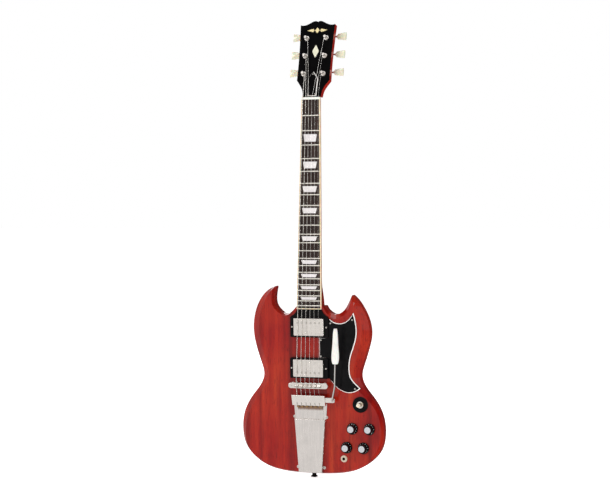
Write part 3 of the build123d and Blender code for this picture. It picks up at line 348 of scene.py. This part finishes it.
mahogany = lacquered_mahogany()
rosewood = dark_rosewood()
black = black_gloss()
veneer_black = black_gloss("veneer_black", None, 0.03, 0.35)
guard_black = black_gloss("guard_ply", (0, -1, 0))
rod_cover_black = black_gloss("rod_cover_ply", (0, -0.961262, 0.275637), 0.03, 0.35)
nickel = polished_metal("nickel_plate", (0.86, 0.82, 0.775), (0.17, 0.27))
bright = polished_metal("polished_steel", (0.72, 0.71, 0.69), (0.14, 0.24))
soft_nickel = polished_metal("wiped_nickel", (0.84, 0.80, 0.77), (0.20, 0.30), (260, 260, 18), 0.12)
# the spring's top leaf, from 140 to 144.5 mm up, carries painted brown shade and reflection under the bar
spring_leaf = polished_metal("spring_leaf", (0.84, 0.80, 0.77), (0.20, 0.32), (260, 260, 18), 0.12,
                             painted_shade_band=(0.1400, 0.1445))
fret_metal = polished_metal("fret_wire", (0.80, 0.77, 0.70), (0.14, 0.26), (40, 900, 900), 0.2)
jack_plate = polished_metal("jack_plate", (0.84, 0.72, 0.58), (0.20, 0.32))
screw_metal = polished_metal("screw_nickel", (0.70, 0.67, 0.62), (0.16, 0.30))
dull_steel = polished_metal("plain_steel", (0.50, 0.49, 0.46), (0.30, 0.45), (30, 600, 600))
brass = polished_metal("ball_brass", (0.40, 0.25, 0.11), (0.18, 0.32))
binding = cream_plastic("aged_binding", (0.80, 0.60, 0.38), (0.93, 0.78, 0.56))
button = cream_plastic("button_plastic", (0.66, 0.64, 0.46), (0.80, 0.78, 0.61), 0.14, 0.25)
white = cream_plastic("handle_plastic", (0.78, 0.77, 0.71), (0.87, 0.86, 0.80), 0.14, 0.2)
cream = cream_plastic("tip_plastic", (0.74, 0.64, 0.42), (0.88, 0.80, 0.60), 0.12, 0.3)
bone = cream_plastic("nut_bone", (0.78, 0.75, 0.66), (0.92, 0.90, 0.84), 0.34, 0.2, 120.0)
bobbin = cream_plastic("bobbin_black", (0.008, 0.008, 0.008), (0.022, 0.02, 0.02), 0.35, 0.0)
orange = cream_plastic("capacitor_coat", (0.52, 0.12, 0.02), (0.75, 0.25, 0.04), 0.25, 0.0)
sleeve = cream_plastic("wire_sleeve", (0.008, 0.008, 0.01), (0.03, 0.03, 0.03), 0.5, 0.0)
pearl = mother_of_pearl("inlay_pearl", (0.86, 0.80, 0.83))
cream_pearl = mother_of_pearl("headstock_pearl", (0.80, 0.78, 0.56))
magnet = polished_metal("magnet_alloy", (0.30, 0.29, 0.28), (0.45, 0.65))

looks = {
    "body": mahogany, "neck": mahogany, "headstock_veneer": veneer_black, "truss_rod": dull_steel,
    "truss_rod_cover": rod_cover_black, "fretboard": rosewood, "fretboard_binding": binding,
    "frets": fret_metal,
    "fret_markers": pearl, "nut": bone, "tuner_bushings": nickel, "tuner_housings": nickel,
    "strings": wound_strings(), "string_ball_ends": brass, "pickup_covers": nickel,
    "pickup_bobbins": bobbin, "pickup_pole_screws": screw_metal, "pickup_magnets": magnet,
    "pickup_baseplates": dull_steel, "pickup_rings": black, "pickup_height_screws": screw_metal,
    "pickguard": guard_black, "neck_joint_cover": black, "trim_screws": screw_metal,
    "wood_screws": screw_metal, "bridge_base": nickel, "bridge_saddles": nickel,
    "saddle_screws": screw_metal, "bridge_posts": nickel, "vibrola_base": soft_nickel,
    "vibrola_spring": spring_leaf, "vibrola_cover": soft_nickel, "vibrola_bar": nickel,
    "vibrola_arm": bright, "vibrola_handle": white, "potentiometers": dull_steel, "capacitors": orange,
    "wiring": sleeve, "toggle_switch": nickel, "toggle_ring": black,
    "toggle_lever": two_part("toggle_tip", "Y", -0.0079, "above", cream, nickel),
    "output_jack": jack_plate, "control_cavity_cover": black, "strap_buttons": black,
}
key_look = two_part("tuner_key", "X", 0.0424, "outside", nickel, button)
for k in range(1, 7):
    looks[f"tuner_post_{k}"] = nickel
    looks[f"tuner_key_{k}"] = key_look
for name in ("volume_knob_neck", "tone_knob_neck", "volume_knob_bridge", "tone_knob_bridge"):
    looks[name] = black

for name, thing in nodes.items():
    thing.data.materials.clear()
    thing.data.materials.append(looks[name])
    thing.data.shade_smooth()
    thing.data.set_sharp_from_angle(angle=math.radians(32))


# ------------------------------------------------------------ pieces made here
SCALE = 628.65
BOARD = (43.0, 57.0)
NECK_PITCH, HEAD_PITCH = 3.5, 12.5
NUT_PLACE = (0, 21.6087, 822.4774)
HEAD_PLACE = (0, 27.598, 822.111)


def frame_of(origin, across, upward, outward):
    """Matrix whose axes are the given directions, in metres."""
    return Matrix(((across[0], upward[0], outward[0], origin[0]),
                   (across[1], upward[1], outward[1], origin[1]),
                   (across[2], upward[2], outward[2], origin[2]),
                   (0, 0, 0, 1)))


def piece(name, form, material, body, place=None, smooth=35):
    """Turn a bmesh into an object that rides a body."""
    data = bpy.data.meshes.new(name)
    bmesh.ops.recalc_face_normals(form, faces=form.faces)
    form.to_mesh(data)
    form.free()
    data.materials.append(material)
    data.shade_smooth()
    data.set_sharp_from_angle(angle=math.radians(smooth))
    thing = bpy.data.objects.new(name, data)
    bpy.context.scene.collection.objects.link(thing)
    if place:
        thing.matrix_world = place
        bpy.context.view_layer.update()
    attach(thing, body)
    return thing


def lathe(profile, steps=72):
    """Turned shape from (radius, height) pairs in mm; its axis is local Z."""
    form = bmesh.new()
    rings = []
    for radius, height in profile:
        ring = []
        for i in range(steps if radius else 1):
            turn = 2 * math.pi * i / steps
            ring.append(form.verts.new((radius * MM * math.cos(turn), radius * MM * math.sin(turn),
                                        height * MM)))
        rings.append(ring)
    for low, high in zip(rings, rings[1:]):
        for i in range(steps):
            a, b = low[i % len(low)], low[(i + 1) % len(low)]
            c, d = high[(i + 1) % len(high)], high[i % len(high)]
            form.faces.new(list(dict.fromkeys((a, b, c, d))))
    return form


def tile(outline, low, high, edge=0.06):
    """Flat inlay from an outline in mm, with a small chamfer round its top."""
    form = bmesh.new()
    middle = Vector((sum(p[0] for p in outline), sum(p[1] for p in outline))) / len(outline)
    rings = []
    for height, inset in ((low, 0), (high - edge, 0), (high, edge)):
        ring = []
        for spot in outline:
            way = (middle - Vector(spot)).normalized() * inset
            ring.append(form.verts.new(((spot[0] + way.x) * MM, (spot[1] + way.y) * MM, height * MM)))
        rings.append(ring)
    count = len(outline)
    for under, over in zip(rings, rings[1:]):
        for i in range(count):
            form.faces.new((under[i], under[(i + 1) % count], over[(i + 1) % count], over[i]))
    form.faces.new(rings[0][::-1])
    form.faces.new(rings[-1])
    return form


def spun_metal():
    """Cap insert turned on a lathe: fine rings about the local Z axis."""
    g = Graph("spun_cap")
    wave = g.add("ShaderNodeTexWave", wave_type="RINGS", rings_direction="Z")
    g.link(g.place, wave.inputs["Vector"])
    wave.inputs["Scale"].default_value = 1400.0
    wave.inputs["Distortion"].default_value = 1.5
    tone = g.mix(wave.outputs["Fac"], (0.84, 0.86, 0.90), (0.68, 0.71, 0.76))
    return g.set(Base_Color=tone, Metallic=1.0, Roughness=g.grade(g.noise(200.0), 0.3, 0.7, 0.18, 0.30),
                 Normal=g.bump(wave.outputs["Fac"], 0.00001))


def paint(name, tone):
    """Printed marking with slightly uneven cover."""
    g = Graph(name)
    wear = g.noise(900.0, 3.0)
    shade = g.ramp(wear, [(0.3, tuple(0.86 * c for c in tone)), (0.6, tone)])
    return g.set(Base_Color=shade, Roughness=g.grade(wear, 0.3, 0.7, 0.4, 0.55))


def centre_of(name):
    low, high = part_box(name)
    return [(a + b) / 2 for a, b in zip(low, high)], low


def knob_marks(name, cap, ink):
    """Metal insert and the numbers 0 to 10 round a control knob's skirt."""
    middle, low = centre_of(name)
    top = low[1]
    outward = (0, -1, 0)
    base = frame_of((middle[0], top + 15.9 * MM, middle[2]), (1, 0, 0), (0, 0, 1), outward)
    insert = lathe([(0, 15.42), (7.1, 15.42), (7.1, 15.62), (6.5, 15.72), (5.9, 15.80), (2.0, 15.86),
                    (0, 15.87)])
    piece(f"{name}_cap", insert, cap, name, base)
    form = bmesh.new()
    for number in range(11):
        turn = math.radians(90 + (number - 5) * 29)
        radial = Vector((math.cos(turn), math.sin(turn), 0))
        rise = Vector((0, 0, 1))
        upward = (rise * 3.0 - radial * 2.3).normalized()
        normal = (radial * 3.0 + rise * 2.3).normalized()
        side = upward.cross(normal)
        spot = (radial * 10.72 + rise * 4.75) * MM
        words = bpy.data.curves.new("digits", "FONT")
        words.body = str(number)
        words.size, words.extrude = 2.9 * MM, 0.03 * MM
        words.align_x, words.align_y = "CENTER", "CENTER"
        holder = bpy.data.objects.new("digits", words)
        bpy.context.scene.collection.objects.link(holder)
        bpy.context.view_layer.update()
        flat = bpy.data.meshes.new_from_object(holder)
        bpy.data.objects.remove(holder)
        flat.transform(frame_of(spot, side, upward, normal))
        form.from_mesh(flat)
        bpy.data.meshes.remove(flat)
    piece(f"{name}_numbers", form, ink, name, base)


def headstock_ornaments():
    """Plain lozenges and bars in place of any mark."""
    slant = math.radians(NECK_PITCH + HEAD_PITCH)
    place = frame_of([MM * c for c in HEAD_PLACE], (1, 0, 0), (0, math.sin(slant), math.cos(slant)),
                     (0, -math.cos(slant), math.sin(slant)))
    shapes = {
        "headstock_lozenge": [[(0, 97), (6.2, 108.5), (7.4, 112), (6.2, 115.5), (0, 127), (-6.2, 115.5),
                               (-7.4, 112), (-6.2, 108.5)]],
        "headstock_bars": [[(-24.0, 160.5), (-9.4, 156.6), (-6.6, 160.5), (-9.4, 164.4)],
                           [(24.0, 160.5), (9.4, 164.4), (6.6, 160.5), (9.4, 156.6)],
                           [(0, 153.6), (5.2, 160.5), (0, 167.4), (-5.2, 160.5)]],
    }
    for name, outlines in shapes.items():
        form = bmesh.new()
        for outline in outlines:
            part = tile(outline, -0.3, 0.12)
            data = bpy.data.meshes.new("part")
            part.to_mesh(data)
            part.free()
            form.from_mesh(data)
            bpy.data.meshes.remove(data)
        stuff = cream_pearl if name == "headstock_lozenge" else gold
        piece(name, form, stuff, "guitar", place)


def side_dots(ink):
    """Small position dots along the binding's edge on the bass side."""
    slant = math.radians(NECK_PITCH)
    along = Vector((0, math.sin(slant), math.cos(slant)))
    normal = Vector((0, -math.cos(slant), math.sin(slant)))
    origin = Vector(NUT_PLACE)
    reach = lambda number: SCALE * (1 - 2 ** (-number / 12))
    form = bmesh.new()
    for fret, shifts in ((3, (0,)), (5, (0,)), (7, (0,)), (9, (0,)), (12, (-5, 5)), (15, (0,)), (17, (0,)),
                         (19, (0,)), (21, (0,))):
        for shift in shifts:
            away = (reach(fret) + reach(fret - 1)) / 2 + shift
            half = (BOARD[0] + (BOARD[1] - BOARD[0]) * away / reach(22)) / 2
            spot = origin - along * away - normal * 3.2
            spot.x = -half
            form_part = bmesh.ops.create_circle(form, cap_ends=True, segments=20, radius=1.0 * MM)
            turn = frame_of([0.001 * c for c in (spot.x - 0.03, spot.y, spot.z)], along, normal, (-1, 0, 0))
            bmesh.ops.transform(form, matrix=turn, verts=form_part["verts"])
    edge = bmesh.ops.extrude_face_region(form, geom=form.faces[:])
    moved = [v for v in edge["geom"] if isinstance(v, bmesh.types.BMVert)]
    bmesh.ops.translate(form, vec=(0.3 * MM, 0, 0), verts=moved)
    piece("side_dots", form, ink, "guitar")


cap = spun_metal()
ink = paint("number_ink", (0.85, 0.83, 0.78))
gold = paint("gold_leaf", (0.80, 0.66, 0.34))
dark_ink = paint("dot_ink", (0.03, 0.028, 0.025))
for name in ("volume_knob_neck", "tone_knob_neck", "volume_knob_bridge", "tone_knob_bridge"):
    knob_marks(name, cap, ink)
headstock_ornaments()
side_dots(dark_ink)

# ------------------------------------------------------------ stage and light
def stage():
    data = bpy.data.meshes.new("floor")
    form = bmesh.new()
    bmesh.ops.create_grid(form, x_segments=1, y_segments=1, size=14)
    form.to_mesh(data)
    form.free()
    floor = bpy.data.objects.new("floor", data)
    floor.location = (0, 0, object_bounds()[0][2] - 0.0005)
    bpy.context.scene.collection.objects.link(floor)
    g = Graph("pale_floor")
    tone = g.ramp(g.noise(1.5, 2.0), [(0.3, (0.90, 0.90, 0.90)), (0.7, (0.94, 0.94, 0.94))])
    g.set(Base_Color=tone, Roughness=0.9, Specular_IOR_Level=0.0, Emission_Color=(1, 1, 1, 1),
          Emission_Strength=0.80)
    data.materials.append(g.material)
    floor.visible_glossy = False
    floor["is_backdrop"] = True


def lamp(name, place, target, size, power, tint=(1, 1, 1)):
    data = bpy.data.lights.new(name, "AREA")
    data.shape, data.size, data.size_y = "RECTANGLE", size[0], size[1]
    data.energy, data.color = power, tint
    thing = bpy.data.objects.new(name, data)
    thing.location = place
    thing.rotation_euler = (Vector(target) - Vector(place)).to_track_quat("-Z", "Y").to_euler()
    bpy.context.scene.collection.objects.link(thing)


def light():
    world = bpy.data.worlds.new("studio")
    bpy.context.scene.world = world
    world.use_nodes = True
    tree = world.node_tree
    back = tree.nodes["Background"]
    path = tree.nodes.new("ShaderNodeLightPath")
    shade = tree.nodes.new("ShaderNodeMix")
    shade.data_type = "RGBA"
    shade.inputs[6].default_value = (0.34, 0.34, 0.35, 1)
    shade.inputs[7].default_value = (1, 1, 1, 1)
    tree.links.new(path.outputs["Is Camera Ray"], shade.inputs["Factor"])
    way = tree.nodes.new("ShaderNodeTexCoord").outputs["Generated"]
    lean = tree.nodes.new("ShaderNodeVectorMath")
    lean.operation = "DOT_PRODUCT"
    tree.links.new(way, lean.inputs[0])
    lean.inputs[1].default_value = (-0.8, -0.6, 0)
    room = tree.nodes.new("ShaderNodeValToRGB")
    band = room.color_ramp
    while len(band.elements) < 5:
        band.elements.new(1.0)
    for element, (spot, level) in zip(band.elements, ((0.0, 0.03), (0.22, 0.05), (0.45, 0.34),
                                                     (0.72, 0.92), (0.92, 0.82))):
        element.position, element.color = spot, (level, 0.98 * level, 0.965 * level, 1)
    spread = tree.nodes.new("ShaderNodeMapRange")
    spread.inputs["From Min"].default_value = -1.0
    tree.links.new(lean.outputs["Value"], spread.inputs["Value"])
    tree.links.new(spread.outputs[0], room.inputs["Fac"])
    gloss = tree.nodes.new("ShaderNodeMix")
    gloss.data_type = "RGBA"
    tree.links.new(room.outputs["Color"], gloss.inputs[7])
    tree.links.new(path.outputs["Is Glossy Ray"], gloss.inputs["Factor"])
    tree.links.new(shade.outputs[2], gloss.inputs[6])
    tree.links.new(gloss.outputs[2], back.inputs["Color"])
    lamp("key", (-2.6, -2.2, 2.4), (0, 0, 0.5), (1.6, 1.8), 50)
    lamp("fill", (2.8, -2.6, 1.2), (0, 0, 0.5), (1.4, 2.0), 6)
    lamp("edge", (2.8, -0.9, 0.7), (0, 0, 0.4), (0.2, 2.4), 20)
    lamp("top", (0.0, -0.6, 3.2), (0, 0, 0.4), (2.2, 1.2), 22)
    lamp("back", (-1.4, 2.4, 1.6), (0, 0, 0.5), (1.6, 1.6), 20)


stage()
light()
bpy.context.scene.view_settings.view_transform = "Standard"
